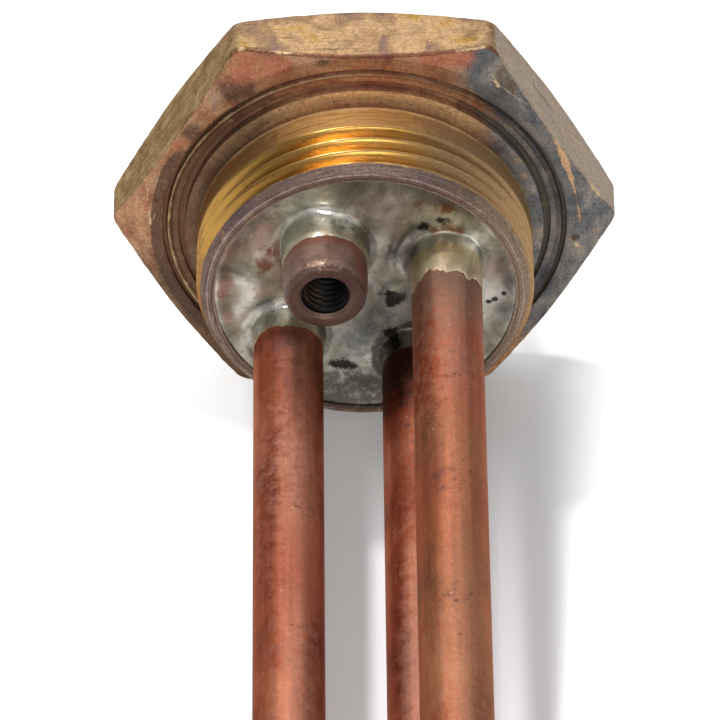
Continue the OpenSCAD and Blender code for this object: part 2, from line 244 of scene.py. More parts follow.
def startMaterial(name, sockets, noises):
    # a material with its shader, its coordinates and its noise layers; a layer is (size of its clouds in mm,
    # detail, roughness), and may go on with its distortion and its scale along the tubes
    material, add = emptyMaterial(name)
    shader = add("BsdfPrincipled", sockets)
    add("OutputMaterial", {"Surface": shader})
    place = add("TexCoord").outputs["Object"]
    layers = []
    for size, detail, rough, *more in noises:
        bend, along = more or (0.0, 1.0)
        drawn = add("Mapping", {"Vector": place, "Scale": (1.0, along, 1.0)}) if along < 1 else place
        layers.append(add("TexNoise", {"Vector": drawn, "Scale": 1 / mm / size, "Detail": detail,
                                       "Roughness": rough, "Distortion": bend}))
    return material, add, shader, place, layers


def layStains(add, colour, breakup, stains):
    # lays stains over a colour one by one: (mask attribute, sRGB hex or a colour node, wander, softness,
    # most it covers). The breakup noise moves each border by up to wander, so no stain ends on a clean
    # line. A piece that has no mask of that name gets none of the stain
    for name, stain, wander, soft, most in stains:
        mask = add("Attribute", attribute_name=name).outputs["Fac"]
        shift = add("MapRange", [breakup, 0.3, 0.7, -wander, wander])
        moved = add("Math", [mask, shift], operation="ADD")
        cover = add("MapRange", [moved, 0.5 - soft, 0.5 + soft, 0.0, most], interpolation_type="SMOOTHSTEP")
        stain = linear(stain) if isinstance(stain, str) else stain
        colour = add("Mix", [cover, colour, stain], data_type="RGBA")
    return colour


def shadeBy(add, colour, noise, limits, shades, share=1.0):
    # multiplies a colour by a noise, from the first shade at its lower limit to the second at its upper one
    shade = add("MapRange", [noise, *limits, *shades])
    return add("Mix", [share, colour, shade], data_type="RGBA", blend_type="MULTIPLY")


def middle(node):  # x and up of a CAD node's box centre, in mm
    low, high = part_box(node)
    return np.array([low.x + high.x, low.z + high.z]) / 2 / mm


def radiusOf(node):  # half the width of a CAD node, in mm
    low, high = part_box(node)
    return (high.x - low.x) / 2 / mm


def outsOf(node):  # nearest and farthest out of a CAD node, in mm
    low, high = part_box(node)
    return -high.y / mm, -low.y / mm


legLeft, legRight = middle("ceramic_bead_left"), middle("ceramic_bead_right")
pocketAt, bossAt, earthAt = middle("pocket_tube"), middle("anode_boss"), middle("earth_screw")
tubeRadius, bossRadius = radiusOf("pocket_tube"), radiusOf("anode_boss")

# Camera: a long lens, 42 degrees above the tubes' own direction
view = {
    "aim": (-0.75, 0.0, 25.2), "distance": 950.0, "azimuth": -0.35, "elevation": 42.2, "roll": 0.15,
    "lens": 387.0, "sensor": 36.0, "clipEnd": 20.0,
}
lens = bpy.data.cameras.new("camera")
lens.lens, lens.sensor_width, lens.clip_end = view["lens"], view["sensor"], view["clipEnd"]
camera = makeObject("camera", lens)
aim = Vector(toRow(*view["aim"]).tolist())
sway, lift = math.radians(view["azimuth"]), math.radians(view["elevation"])
back = Vector((math.sin(sway) * math.cos(lift), -math.cos(sway) * math.cos(lift), math.sin(lift)))
aimTurn = back.to_track_quat("Z", "Y").to_matrix() @ Matrix.Rotation(-math.radians(view["roll"]), 3, "Z")
camera.matrix_world = Matrix.Translation(aim + back * view["distance"] * mm) @ aimTurn.to_4x4()
bpy.context.scene.camera = camera

# Lamps: a small key high on the left, which lays the tubes' shadows to their right, a broad soft box
# above and behind, which draws the bright line along tubes and thread, and a soft fill from the front
lamps = {
    "key": {"at": (-0.35, 0.27, 1.10), "size": 0.13, "watts": 8.4},
    "softBox": {"at": (0.28, 0.86, 0.92), "size": 1.15, "watts": 3.4},
    "fill": {"at": (0.05, -1.10, 0.85), "size": 0.65, "watts": 6.2},
}
for name, lamp in lamps.items():
    light = bpy.data.lights.new(name, "AREA")
    light.shape, light.size, light.energy = "DISK", lamp["size"], lamp["watts"]
    holder = makeObject(name, light)
    spot = Vector(lamp["at"])
    holder.matrix_world = Matrix.Translation(spot) @ spot.to_track_quat("Z", "Y").to_matrix().to_4x4()

# Room: grey near the horizon and paler overhead, so that round metal keeps dark flanks
room = {"horizon": 0.26, "overhead": 0.36, "colour": "#ffffff"}
world = bpy.data.worlds.new("studio")
bpy.context.scene.world = world
world.use_nodes = True
world.node_tree.nodes.clear()
addSky = partial(addNode, world.node_tree)
looking = addSky("SeparateXYZ", [addSky("TexCoord").outputs["Generated"]])
level = addSky("MapRange", [looking.outputs["Z"], 0.0, 1.0, room["horizon"], room["overhead"]])
walls = addSky("Background", {"Color": linear(room["colour"]), "Strength": level})
addSky("OutputWorld", {"Surface": walls})

# The heater lies on the lower edge of its head and the round end of its pocket, so the
# table leans a little in the row frame: tan of the lean joins those two points
table = {
    "reach": 2.5, "rows": 9, "below": 0.0001, "white": "#cccccc", "mirrored": 0.4,
    "glow": (0.18, 0.75),  # in the heater's shadow, and beside it
    # where the shadow pales to white: two limits in x and two in y; the right one is drawn in along the tubes
    "right": (0.0215, 0.034), "left": (-0.009, -0.016), "behind": (0.0, 0.02), "beyond": (-0.09, -0.14),
    "drawnIn": 0.15, "narrowest": 0.0225,
    # painted light between the tubes' shadows, a glow on the table: four limits across in x, two along in y,
    # and its glow
    "strips": [((0.0130, 0.0172, 0.0176, 0.0208), (-0.008, -0.062), 0.56),
               ((-0.0010, 0.0018, 0.0060, 0.0100), (-0.012, -0.032), 0.42)],
}
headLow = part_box("screw_plug")[0].z
pocketEnd = -outsOf("pocket_tube")[1] * mm + tubeRadius * mm
domeUp = pocketAt[1] * mm - headLow
lean = math.atan2(domeUp, -pocketEnd) - math.asin(tubeRadius * mm / math.hypot(domeUp, pocketEnd))
spread = np.linspace(-1, 1, table["rows"]) * table["reach"]
floorX, floorY = np.meshgrid(spread, spread, indexing="ij")
floorPoints = np.stack([floorX, floorY, headLow - math.tan(lean) * floorY - table["below"]], -1)
floorMesh = bpy.data.meshes.new("table")
floorFaces = gridFaces(table["rows"], table["rows"], 0, False, False)
floorMesh.from_pydata(floorPoints.reshape(-1, 3), [], floorFaces)
tableTop = makeObject("table", floorMesh)
if floorMesh.polygons[0].normal.z < 0:
    floorMesh.flip_normals()


def whiteTable():
    # smooth white laminate: it keeps the shadow near the heater and pales to plain white beside it with a
    # painted glow, and lays strips of painted light between the tubes' shadows
    material, add = emptyMaterial("white laminate, sealed")
    path = add("LightPath").outputs
    seen = add("Math", [path["Is Glossy Ray"], path["Is Transmission Ray"]], operation="MAXIMUM")
    place = add("SeparateXYZ", [add("TexCoord").outputs["Object"]]).outputs
    shaded, plain = table["glow"]
    pale = shaded
    # strips of painted light on the table between the tubes' shadows
    for (rise, full, still, fall), (near, far), most in table["strips"]:
        lit = add("MapRange", [place["Y"], near, far])
        for start, end in ((rise, full), (fall, still)):
            flank = add("MapRange", [place["X"], start, end], interpolation_type="SMOOTHSTEP")
            lit = add("Math", [lit, flank], operation="MULTIPLY")
        lit = add("MapRange", [lit, 0.0, 1.0, shaded, most])
        pale = add("Math", [lit, pale], operation="MAXIMUM")
    rightStart, rightEnd = table["right"]
    rightEnd = add("Math", [place["Y"], table["drawnIn"], rightEnd], operation="MULTIPLY_ADD")
    rightEnd = add("Math", [rightEnd, table["narrowest"]], operation="MAXIMUM")
    limits = [(place["X"], rightStart, rightEnd), (place["X"], *table["left"]),
              (place["Y"], *table["behind"]), (place["Y"], *table["beyond"])]
    for measured, start, end in limits:
        side = add("MapRange", [measured, start, end, shaded, plain], interpolation_type="SMOOTHSTEP")
        pale = add("Math", [pale, side], operation="MAXIMUM")
    glow = add("Math", [path["Is Camera Ray"], pale], operation="MULTIPLY")
    glow = add("Math", [seen, table["mirrored"], glow], operation="MULTIPLY_ADD")
    paper = add("BsdfDiffuse", {"Color": linear(table["white"])})
    shine = add("Emission", {"Color": linear("#ffffff"), "Strength": glow})
    add("OutputMaterial", {"Surface": add("AddShader", [paper, shine])})
    return material


floorMesh.materials.append(whiteTable())
print("camera, lamps and table set; the table leans", round(math.degrees(lean), 2), "degrees")

# Screw plug: one turned grid round its axis, from the floor of the dry cup over the hexagon,
# the sealing rings and the thread to the floor of the wet cup
plugLow, plugHigh = (np.array(corner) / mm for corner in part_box("screw_plug"))
plug = {
    "sides": 432,
    "flat": plugHigh[2],  # half the width across flats
    "back": -plugHigh[1], "end": -plugLow[1],
    "cornerRound": 1.9, "edgeRound": 0.28, "edgeRows": 4,
    "edgeWear": 0.05, "sideWave": 0.03,  # unevenness of the hexagon's corners and flats
    "chamferStart": 27.38, "chamferRise": math.tan(math.radians(22.5)),
    "chamferRows": (0.08, 0.94, 9),  # first and last share of the slope, and how many rows
    "sideRows": [0.06, 0.2, 0.4, 0.6, 0.8, 0.94],  # shares of the way from the back edge to the front one
    "dryCup": 17.53, "wetCup": 18.655, "bevel": 0.8,
    "webBack": 6.8, "webFront": 10.8, "webRadii": (1.5, 10),  # rows on the web between the cups
    "dryRow": -2, "backRow": 22,  # out of a row on the dry cup's wall, and radius of one on the back
    "rings": [  # (radius, out) of the sealing face: outer groove, ridge, inner groove, lip, relief and land
        (26.9, 0), (26.4, 0), (25.9, 0), (25.305, 0), (25.305, -0.7), (24.78, -0.7), (24.605, 0.15),
        (24.005, -0.2), (23.305, -0.2), (23.305, -0.7), (22.405, -0.7), (22.405, 0.6), (21.2, 0.6),
        (20.005, 0.6), (20.005, 2.0), (20.955, 2.0), (20.955, 3.0)],
    "rim": [19.5, 19.4, 19.3, 19.2, 19.1, 18.98, 18.85],  # radii of the rows on the rim
    "softDry": 0.2, "softFace": 0.09, "softCup": 0.12,  # rounding of the corners between them
    "threadRadius": 20.955, "threadDepth": 1.4785, "pitch": 2.309, "threadStep": 0.1,
    "landRows": (3.4, 4.8, 4), "landEnd": 5.4, "leadChamfer": 1.3,
    "runIn": (-0.1, 0.5), "runOut": 1.0,  # where the thread deepens after the land, and fades before the rim
    "drillGap": 0.05, "drill": (-12, 16),  # room round tubes and boss, and the drills' two ends
    "earthBoss": (4.2, [2.6, 2.8, 7.2]), "earthHole": (2.1, [-12, 7.7]),  # radius and outs
}


def hexRadius(theta):
    # distance from the axis to a hexagon with rounded corners at 0, 60, 120 ... degrees
    flat, rounding = plug["flat"], plug["cornerRound"]
    fromCorner = (theta + np.pi / 6) % (np.pi / 3) - np.pi / 6
    toCentre = (flat - rounding) / math.cos(math.pi / 6)
    meets = math.atan2(rounding / 2, toCentre + rounding * math.cos(math.pi / 6))
    root = np.sqrt(np.maximum(rounding ** 2 - (toCentre * np.sin(fromCorner)) ** 2, 0))
    arc = toCentre * np.cos(fromCorner) + root
    side = flat / np.cos(np.pi / 6 - np.abs(fromCorner))
    return np.where(np.abs(fromCorner) < meets, arc, side)


def threadedRadius(theta, out):
    # a right-hand helix whose crests are at out = landEnd + pitch * turns, counted from the top; it starts
    # at the land and fades out at the rim
    landEnd, end = plug["landEnd"], plug["end"]
    wave = threadWave((out - landEnd) / plug["pitch"] - (theta - np.pi / 2) / (2 * np.pi) + 0.5)
    shallow, deep = plug["runIn"]
    fade = smooth(landEnd + shallow, landEnd + deep, out) * (1 - smooth(end - plug["runOut"], end, out))
    cutDeep = plug["threadDepth"] * fade * (1 - wave) / 2
    lead = plug["threadRadius"] - np.maximum(out - (end - plug["leadChamfer"]), 0)
    return np.minimum(plug["threadRadius"] - cutDeep, lead)


def plugGrid():
    # rows of (radius, out): dry cup, back chamfer, flats, front chamfer, rings, thread and wet cup
    step = np.linspace(0, 1, plug["sides"] // 6, endpoint=False)
    sector = step - 0.5 * np.sin(2 * np.pi * step) / (2 * np.pi)  # closer together at the corners
    theta = ((np.arange(6)[:, None] + sector[None]) * np.pi / 3).ravel()
    back, end, start, rise = plug["back"], plug["end"], plug["chamferStart"], plug["chamferRise"]
    cup, bevel, web = plug["dryCup"], plug["bevel"], plug["webBack"]
    dry = roundCorners([
        *((radius, web) for radius in plug["webRadii"]), (cup - bevel, web), (cup, web - bevel),
        (cup, plug["dryRow"]), (cup, back + bevel), (cup + bevel, back), (plug["backRow"], back),
        (start, back)], plug["softDry"])
    edge = hexRadius(theta)
    edge = edge - plug["edgeWear"] * np.abs(ripple(9 * np.cos(theta), 9 * np.sin(theta), 3))
    rounding = plug["edgeRound"] * (1 + 0.5 * ripple(30 * theta, 11 * theta, 5))
    reach = np.minimum(rounding, 0.45 * (edge - start))
    drop = (edge - start) * rise
    slopeR = start + np.linspace(*plug["chamferRows"])[:, None] * (edge - reach - start)
    slopeOut = (slopeR - start) * rise
    t = np.linspace(0, 1, plug["edgeRows"])[:, None]
    bendR = (1 - t) ** 2 * (edge - reach) + (2 * t * (1 - t) + t ** 2) * edge
    bendOut = (1 - t) ** 2 * (drop - reach * rise) + 2 * t * (1 - t) * drop + t ** 2 * (drop + reach)
    along = np.array(plug["sideRows"])[:, None]
    sideOut = (back + drop + reach) * (1 - along) + (-drop - reach) * along
    sideR = edge + plug["sideWave"] * ripple(sideOut, 14 * theta[None], 8)
    face = roundCorners([(start, 0), *plug["rings"]], plug["softFace"])
    landOut = np.linspace(*plug["landRows"])
    threadOut = np.concatenate([landOut, np.arange(landOut[-1], end, plug["threadStep"]), [end]])[:, None]
    threadR = threadedRadius(theta[None], threadOut)
    wet = roundCorners([
        (plug["threadRadius"] - plug["leadChamfer"], end), *((radius, end) for radius in plug["rim"]),
        (plug["wetCup"], end), (plug["wetCup"], plug["webFront"]),
        *((radius, plug["webFront"]) for radius in plug["webRadii"][::-1])], plug["softCup"])[1:]
    turned = lambda rows: np.broadcast_to(rows[:, None], (len(rows), len(theta), 2))
    rows = np.concatenate([
        turned(dry), np.stack([slopeR, back + slopeOut], -1), np.stack([bendR, back + bendOut], -1),
        np.stack([sideR, sideOut], -1), np.stack([bendR, -bendOut], -1)[::-1],
        np.stack([slopeR, -slopeOut], -1)[::-1], turned(face),
        np.stack([threadR, threadOut + 0 * threadR], -1), turned(wet)])
    return around((0, 0), rows[..., 0], theta, rows[..., 1]), False, True


plugPiece = makePiece("screwPlug", plugGrid())
cutWith(plugPiece, makePiece("earthBoss", barGrid(earthAt, *plug["earthBoss"])), "UNION")
drills = [barGrid(at, tubeRadius + plug["drillGap"], plug["drill"]) for at in (legLeft, legRight, pocketAt)]
drills.append(barGrid(bossAt, bossRadius + plug["drillGap"], [outsOf("anode_boss")[0], plug["drill"][1]]))
drills.append(barGrid(earthAt, *plug["earthHole"]))
cutWith(plugPiece, makePiece("drills", *drills))

# Masks of the plug: where each of its surfaces is, by radius, up and out in mm
plugPoints = localPoints(plugPiece.data)
plugX, plugUp, plugOut = plugPoints.T
plugR, plugTurn = np.hypot(plugX, plugUp), np.arctan2(plugUp, plugX)
degrees = np.degrees(plugTurn)
hexEdge = hexRadius(plugTurn)
inside = hexEdge - plugR  # distance in from the hexagon
chamferDrop = (hexEdge - plug["chamferStart"]) * plug["chamferRise"]
onSide = smooth(0.4, 0.1, inside) * smooth(-0.15, 0.1, -plugOut - chamferDrop)
onSide = onSide * smooth(-0.15, 0.1, plugOut - plug["back"] - chamferDrop)
onTop = onSide * smooth(26.6, 27.2, plugUp)
onFace = band(-2.8, -2.2, 1.8, 2.1, plugOut) * smooth(19.8, 20.2, plugR) * (1 - onSide)
onChamfer = smooth(25.2, 25.6, plugR)
frontEdge = smooth(0.5, 0.15, np.abs(plugOut + chamferDrop)) * smooth(0.5, 0.2, inside)
cornerTurn = np.abs((plugTurn + np.pi / 6) % (np.pi / 3) - np.pi / 6)
cornerEdge = smooth(0.06, 0.02, cornerTurn) * smooth(0.6, 0.2, inside)
ridge = band(24.2, 24.45, 24.6, 24.75, plugR) * smooth(-0.05, 0.1, plugOut)
ringGrime = smooth(-0.3, -0.6, plugOut) * band(22.2, 22.5, 25.3, 25.6, plugR) * onFace
lipTop = band(20.0, 20.3, 22.3, 22.5, plugR) * band(0.3, 0.5, 0.7, 0.8, plugOut)
relief = band(19.8, 19.9, 20.2, 20.7, plugR) * band(0.7, 0.9, 1.9, 2.1, plugOut)
outerWall = smooth(19.2, 19.4, plugR)
onLand = band(2.0, 2.1, 5.3, 5.6, plugOut) * outerWall
landEdge = band(1.8, 2.0, 2.1, 2.35, plugOut) * smooth(20.5, 20.9, plugR)
onThread = band(5.3, 5.6, 12.0, 12.4, plugOut) * outerWall
crest = smooth(20.84, 20.94, plugR) * band(5.4, 5.9, 12.0, 12.2, plugOut)
root = smooth(20.1, 19.6, plugR) * onThread
onRim = smooth(12.0, 12.5, plugOut) * smooth(18.2, 18.5, plugR)
rimFront = smooth(12.9, 13.2, plugOut)
rimEdge = band(18.5, 18.65, 18.8, 18.92, plugR) * rimFront
rimLine = np.maximum(bell(plugR - 19.62, 0.12), 0.8 * bell(plugR - 19.3, 0.06)) * onRim
rimGroove = bell(plugR - 19.12, 0.1) * onRim * rimFront
toLeft, toRight = smooth(-8, -18, plugX), smooth(0, 13, plugX)
# spots on the front edge: bare metal and painted highlight
bareSpots = [
    (29.9, 5.0, 0, 3.0, 0.8), (13.5, 27.5, 0, 3.0, 0.75), (-10.5, 27.5, 0, 4.0, 0.6), (-27.5, 7, 0, 3, 0.5)]
blushSpots = [
    (-15.0, 25.0, -1, 3.2, 0.75), (-10.5, 26.5, 0, 3.0, 0.6), (11.8, 27.0, -0.5, 2.2, 1.1),
    (7.5, 27, 0, 2.2, 0.6), (-27.6, 4, -1, 3.0, 0.4), (-23.4, 13.5, 0, 1.6, 0.8), (1, 23.0, 0.3, 5, 0.5)]
dirtSpots = [
    (-16.4, 21.8, 0, 2.3, 0.8), (-13.9, 22.9, 0, 1.8, 0.6), (-21.5, 15.5, 0, 2.6, 0.6),
    (-5, 26.6, 0, 1.6, 0.55), (-9, 25.6, 0, 1.6, 0.5), (17.5, 22.5, -1, 3.2, 0.55), (26.5, -2.3, 0, 0.6, 1.4)]
scrapeWidth = 0.16 + 0.42 * bell(degrees - 24, 8)  # the scrape is widest in its middle
scrapeTrack = bell(plugR - 26.75 - 0.0025 * (degrees - 12) ** 2, scrapeWidth)
scrapeDepth = smooth(43, 35, degrees) * (0.55 * smooth(-8, -2, degrees) + 0.45 * smooth(8, 16, degrees))
nicks = [  # start, end, width and strength of the longer scratches
    ((-26.8, 0.3), (-27.1, 7.0), 0.12, 0.8), ((15.5, 24.5), (16.6, 22.3), 0.22, 0.75),
    ((-20, 17.2), (-14, 21.6), 0.07, 0.6), ((16.5, 22.6), (21, 18.6), 0.08, 0.6),
    ((-26.4, 1.0), (-25.6, 6.0), 0.08, 0.5), ((26.5, -3.3), (26.8, -3.8), 0.25, 1.0)]
nickField = 0 * plugX
for start, end, width, strength in nicks:  # by the distance to each scratch's own line
    a, b = np.array(start), np.array(end)
    t = np.clip((plugPoints[:, :2] - a) @ (b - a) / ((b - a) @ (b - a)), 0, 1)
    away = np.linalg.norm(plugPoints[:, :2] - a - t[:, None] * (b - a), axis=1)
    nickField = np.maximum(nickField, strength * bell(away, width))
flatTurn = (np.floor(plugTurn / (np.pi / 3)) + 0.5) * np.pi / 3
alongFlat = -plugX * np.sin(flatTurn) + plugUp * np.cos(flatTurn)
# where the fine lines are drawn: along each flat, and round the axis elsewhere
flatSkin = np.stack([0.12 * alongFlat, 2.4 * plugOut, 9 * flatTurn], -1)
turnedSkin = np.stack([4 * np.cos(plugTurn), 4 * np.sin(plugTurn), 3.2 * (plugR - plugOut)], -1)
paint(
    plugPiece.data,
    olive=(onSide - onTop) * toLeft,
    scratchy=0.4 * onSide * toLeft,
    # painted shade: darker on the lower and left parts of the sealing face, and on the right of the top flat
    smoky=np.maximum.reduce([onFace * smooth(25.45, 25.2, plugR) * smooth(-6, -17, plugX),
                             onFace * smooth(0, -12, plugUp) * smooth(17, 2, plugX),
                             0.5 * onTop * smooth(9, 14, plugX)]),
    greyed=(onSide - onTop) * smooth(7, 19, plugX),
    face=onFace,
    blued=onFace * smooth(11 - 2.5 * onChamfer, 20 - 4.5 * onChamfer, plugX) * smooth(-26, -12, plugUp),
    dirt=onFace * np.maximum(
        band(25.2, 25.5, 26.4, 27.2, plugR) * smooth(-12, -20, plugX) * smooth(18, 8, plugUp),
        spotField(plugPoints, dirtSpots)),
    blush=spotField(plugPoints, blushSpots) * onFace * smooth(22.0, 22.5, plugR),
    land=onLand,
    thread=onThread,
    worn=(onLand + onThread) * toRight,
    # painted shade: land and thread darker on their lower and left parts
    dusky=np.maximum.reduce([onLand * smooth(-8, -15, plugX),
                             0.9 * (onLand + onThread) * smooth(-4, -12, plugUp),
                             onThread * smooth(-14, -18, plugX) * smooth(8, 2, plugUp)]),
    rim=onRim,
    warmRim=onRim * smooth(10, 16, plugX) * smooth(-14, -7, plugUp),
    lowRim=onRim * smooth(-12, -17, plugUp),
    # grime and painted shade: darker in the ring grooves, the relief, the thread's roots and the rim's
    # groove, less towards the top
    grime=np.maximum.reduce([(0.75 - 0.25 * smooth(8, 18, plugUp)) * ringGrime, 0.45 * relief,
                             0.4 * root, 0.7 * rimGroove]),
    # grime and painted shade in the grooves on the right, in grey
    greyGrime=0.9 * ringGrime * smooth(8, 16, plugX),
    # painted highlight: a pale pink band on the top of the lip
    lip=lipTop * smooth(6, 16, plugUp) * smooth(17, 11, plugX),
    rear=np.maximum(smooth(-5.6, -6.4, plugOut) * (1 - onSide),
                    smooth(17.7, 17.6, plugR) * smooth(7.5, 7.0, plugOut)),
    edgeTint=frontEdge * smooth(25.5, 26.5, plugUp),
    # painted highlights: pale lines on the rim's ridges and its inner edge, fewer towards the bottom
    rimPale=np.maximum(0.75 * rimEdge * smooth(-14, 0, plugUp), 0.85 * rimLine),
    # bare metal on knocked edges, corners and scratches, and painted highlights on the front edge's spots,
    # the land's back edge and the ridge
    bare=np.maximum.reduce([frontEdge * spotField(plugPoints, bareSpots), 0.3 * cornerEdge,
                            0.7 * ridge * smooth(6, -2, plugX), 0.9 * landEdge, nickField * onFace]),
    # painted highlight lines along the thread's crests
    crest=crest,
    scrape=scrapeTrack * scrapeDepth * onFace,
    polish=np.maximum(0.25 * onLand, onThread * (1 - 0.7 * toRight)),
    grainy=1 - np.maximum(0.85 * onLand, onThread) * (1 - 0.6 * toRight),
    skin=np.where(onSide[:, None] > 0.5, flatSkin, turnedSkin),
)


def turnedBrass():
    # forged and turned brass, used: sandy and grainy on the flats, brown with dark clouds on the sealing
    # face, blued by heat on its right, smooth gold on land and thread, bare and pale on knocked edges;
    # painted shade on the lower and left face, in its grooves and on the lower land and thread, and painted
    # highlights on the lip, the rim's lines, the land's edge and the thread's crests
    material, add, shader, place, (haze, blotch, grain) = startMaterial(
        "turned brass, heat tinted", {"Specular Tint": linear("#d2b48c")},
        [(4.2, 6.0, 0.62, 0.7, 1.0), (2.0, 6.0, 0.7), (0.36, 4.0, 0.7)])
    pits = add("TexVoronoi", {"Vector": place, "Scale": 1 / mm / 1.8})
    skin = add("Attribute", attribute_name="skin").outputs["Vector"]
    lines = add("TexNoise", {"Vector": skin, "Scale": 1.0, "Detail": 5.0, "Roughness": 0.7})
    sandy, faceTone, blueTone, oliveTone, rimTone, landTone = (
        add("ValToRGB", [noise], stops) for noise, stops in [
            (haze, [(0.34, "#8f7468"), (0.46, "#b38f69"), (0.55, "#cfab82"), (0.67, "#c49a52")]),
            (haze, [(0.3, "#77594c"), (0.42, "#b07b5f"), (0.56, "#c99c78"), (0.72, "#ae9186")]),
            (haze, [(0.32, "#5b6167"), (0.5, "#797d7f"), (0.68, "#a3998b")]),
            (blotch, [(0.36, "#6f5530"), (0.5, "#a5875f"), (0.66, "#c9ac88")]),
            (lines, [(0.36, "#5a4c4d"), (0.5, "#75635f"), (0.64, "#8f7b75")]),
            (lines, [(0.36, "#c3935a"), (0.62, "#e2b878")])])
    colour = layStains(add, sandy, blotch, [
        ("olive", oliveTone, 0.3, 0.35, 0.9),
        ("greyed", "#b8afa8", 0.25, 0.35, 0.85),
        ("face", faceTone, 0.15, 0.3, 0.95),
        ("blued", blueTone, 0.25, 0.35, 0.95),
        # painted highlight on the top of the lip
        ("lip", "#ecc292", 0.3, 0.35, 0.95),
        # painted shade on the lower and left parts of the face
        ("smoky", "#5b4a3d", 0.35, 0.4, 0.75),
        ("rear", landTone, 0.25, 0.4, 0.75),
        ("land", landTone, 0.15, 0.3, 0.95),
        ("thread", "#bd9048", 0.2, 0.3, 0.95),
        ("worn", "#b0906c", 0.35, 0.4, 0.9),
        # painted shade on the lower and left land and thread
        ("dusky", "#9a7252", 0.35, 0.4, 0.75),
        ("rim", rimTone, 0.2, 0.25, 0.92),
        ("warmRim", "#9c8873", 0.35, 0.4, 0.8),
        ("lowRim", "#514a3d", 0.25, 0.3, 0.9),
        ("dirt", "#56443d", 0.35, 0.25, 0.8),
        ("blush", "#c97a5e", 0.35, 0.3, 0.75),
        # grime and painted shade in the grooves and hollows
        ("grime", "#7a5742", 0.15, 0.3, 0.75),
        ("greyGrime", "#51524b", 0.15, 0.3, 0.85),
        ("edgeTint", "#6b372c", 0.3, 0.3, 0.75),
        ("scrape", "#e6bb90", 0.3, 0.2, 0.95),
        # painted highlights on the rim
        ("rimPale", "#b7a39b", 0.35, 0.25, 0.85),
        # painted highlight lines along the thread's crests
        ("crest", "#d6b47c", 0.5, 0.3, 0.6),
        # bare metal and painted highlights on edges
        ("bare", "#e6cda0", 0.3, 0.2, 0.9),
    ])
    colour = layStains(add, colour, lines, [("scratchy", "#6a5334", 0.9, 0.2, 0.7)])
    polish = add("Attribute", attribute_name="polish").outputs["Fac"]
    matt = add("Attribute", attribute_name="grainy").outputs["Fac"]
    colour = shadeBy(add, colour, grain, (0.3, 0.72), (0.66, 1.3), matt)
    colour = shadeBy(add, colour, lines, (0.35, 0.62), (0.76, 1.08), 0.8)
    colour = shadeBy(add, colour, pits, (0.05, 0.12), (0.4, 1.0), 0.7)
    oxide = add("MapRange", [matt, 0.0, 1.0, 1.0, 0.62])  # a dull film, not bare metal
    dull = add("MapRange", [grain, 0.3, 0.7, 0.56, 0.38])
    rough = add("Mix", [polish, dull, 0.27], data_type="FLOAT")
    height = add("Math", [grain, matt], operation="MULTIPLY")
    height = add("Math", [lines, 0.6, height], operation="MULTIPLY_ADD")
    bump = add("Bump", {"Height": height, "Strength": 0.4, "Distance": 0.1 * mm})
    fillSockets(shader, {"Base Color": colour, "Metallic": oxide, "Roughness": rough, "Normal": bump})
    return material


finishPiece(plugPiece, turnedBrass(), "brass", "screw_plug")

# Tubes: a circle carried along the hairpin, and a closed tube for the thermostat
tube = {"sides": 96, "wall": 0.8, "legStep": 2.0, "bendSteps": 56, "pocketStep": 4.0, "domeSteps": 14}


def hairpinGrid():
    # path: out along the left leg, half a turn, back along the right leg. The circle stands on the
    # direction across the hairpin's plane and the one square to the path within it
    span = legRight - legLeft
    apart = np.linalg.norm(span)
    along, across = span / apart, np.array([-span[1], span[0]]) / apart
    first, last = outsOf("element_sheath")
    bendOut = last - apart / 2 - tubeRadius
    leg = np.arange(first, bendOut, tube["legStep"])
    angle = np.linspace(0, np.pi, tube["bendSteps"])
    side = np.concatenate([0 * leg - apart / 2, -apart / 2 * np.cos(angle), 0 * leg + apart / 2])
    out = np.concatenate([leg, bendOut + apart / 2 * np.sin(angle), leg[::-1]])
    heading = np.concatenate([0 * leg, angle, 0 * leg + np.pi])
    turn = ringAngles(tube["sides"])
    centre = (legLeft + legRight) / 2
    layers = []
    for radius, order in ((tubeRadius, 1), (tubeRadius - tube["wall"], -1)):
        outward, offPlane = radius * np.cos(turn), radius * np.sin(turn)
        s = side[::order, None] - outward * np.cos(heading[::order, None])
        o = out[::order, None] + outward * np.sin(heading[::order, None])
        x, up = (centre[k] + s * along[k] + offPlane * across[k] for k in (0, 1))
        layers.append(toRow(x, up, o))
    return np.concatenate(layers), True, False


def pocketGrid():
    # profile turned round the pocket's axis: open at the dry end, a round dome at the other
    first, last = outsOf("pocket_tube")
    inner = tubeRadius - tube["wall"]
    arc = np.linspace(0, np.pi / 2, tube["domeSteps"])[:-1]
    leg = np.arange(first, last - tubeRadius, tube["pocketStep"])
    outside, inside = (np.stack([radius * np.cos(arc), last - tubeRadius + radius * np.sin(arc)], -1)
                       for radius in (tubeRadius, inner))
    wall, bore = (np.stack([0 * leg + radius, leg], -1) for radius in (tubeRadius, inner))
    profile = np.concatenate([inside[::-1], bore[::-1], wall, outside])
    return around(pocketAt, profile[:, :1], ringAngles(tube["sides"]), profile[:, 1:]), False, True


